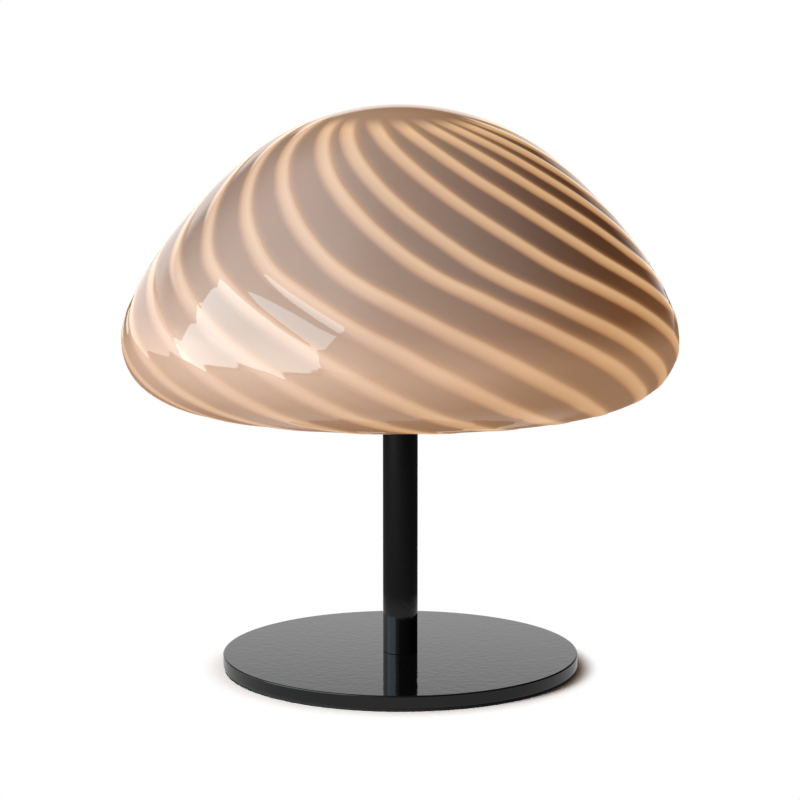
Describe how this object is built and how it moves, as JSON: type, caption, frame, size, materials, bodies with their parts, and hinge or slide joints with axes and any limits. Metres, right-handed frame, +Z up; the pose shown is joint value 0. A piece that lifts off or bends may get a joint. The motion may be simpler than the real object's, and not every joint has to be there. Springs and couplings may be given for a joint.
{
  "type": "table lamp",
  "caption": "Mushroom table lamp: a blown glass dome with swirling canes rests on a slim black stem and a round black base plate, over a screw-cap bulb.",
  "frame": {"origin": "centre of the underside of the base pad, on the floor plane", "axes": "+Z up along the stem to the top of the shade, +Y to the back where the cord leaves the base, +X to the right seen from the front"},
  "size_m": [0.3481, 0.3476, 0.3564],
  "materials": {
    "black_lacquer": "gloss black lacquer on steel",
    "pad_foam": "matt soft foam rubber",
    "black_plastic": "satin moulded plastic",
    "plated_steel": "zinc plated",
    "carrier_paint": "satin white powder coat on pressed steel",
    "clear_silicone": "soft translucent silicone",
    "white_moulding": "heat resistant moulding",
    "contact_brass": "bright strip",
    "cap_metal": "drawn thin metal",
    "dark_vitrite": "dark glassy insulator",
    "white_housing": "smooth white",
    "board_white": "white solder resist",
    "opal_diffuser": "opal, evenly diffusing",
    "blown_glass": "glossy cased glass, taupe, over white",
    "pale_cane": "pale glossy glass canes fused in the skin of the shade"
  },
  "bodies": {
    "lamp": {"base_pad": "pad_foam", "base_plate": "black_lacquer", "base_screws": "plated_steel", "cord_bush": "black_plastic", "stem_foot_plug": "plated_steel", "stem_tube": "black_lacquer", "stem_head_plug": "plated_steel", "carrier_nipple": "plated_steel", "shade_carrier": "carrier_paint", "carrier_gasket": "clear_silicone", "earth_tag": "contact_brass", "carrier_nut": "plated_steel", "holder_bush": "plated_steel", "holder_grub_screw": "plated_steel", "holder_cap": "black_plastic", "holder_insert": "white_moulding", "holder_skirt": "black_plastic", "screw_shell": "contact_brass", "centre_contact": "contact_brass", "shell_contact": "contact_brass", "terminal_screws": "contact_brass"},
    "bulb_tip": {"bulb_eyelet": "contact_brass"},
    "bulb": {"bulb_insulator": "dark_vitrite", "bulb_cap": "cap_metal", "bulb_housing": "white_housing", "bulb_board": "board_white", "bulb_globe": "opal_diffuser"},
    "shade": {"shade_glass": "blown_glass", "swirl_canes": "pale_cane"}
  },
  "joints": [
    {"name": "shade_lift", "type": "slide", "parent": "lamp", "child": "shade", "axis": [0, 0, 1], "range_m": [0, 0.16]},
    {"name": "bulb_rise", "type": "slide", "parent": "lamp", "child": "bulb_tip", "axis": [0, 0, 1], "range_m": [0, 0.0127]},
    {"name": "bulb_turn", "type": "hinge", "parent": "bulb_tip", "child": "bulb", "pos_m": [0, 0, 0.212], "axis": [0, 0, 1], "range_deg": [0, 1260]}
  ],
  "couplings": [
    {"joint": "bulb_rise", "follows": "bulb_turn", "m_per_rad": 0.000576}
  ]
}
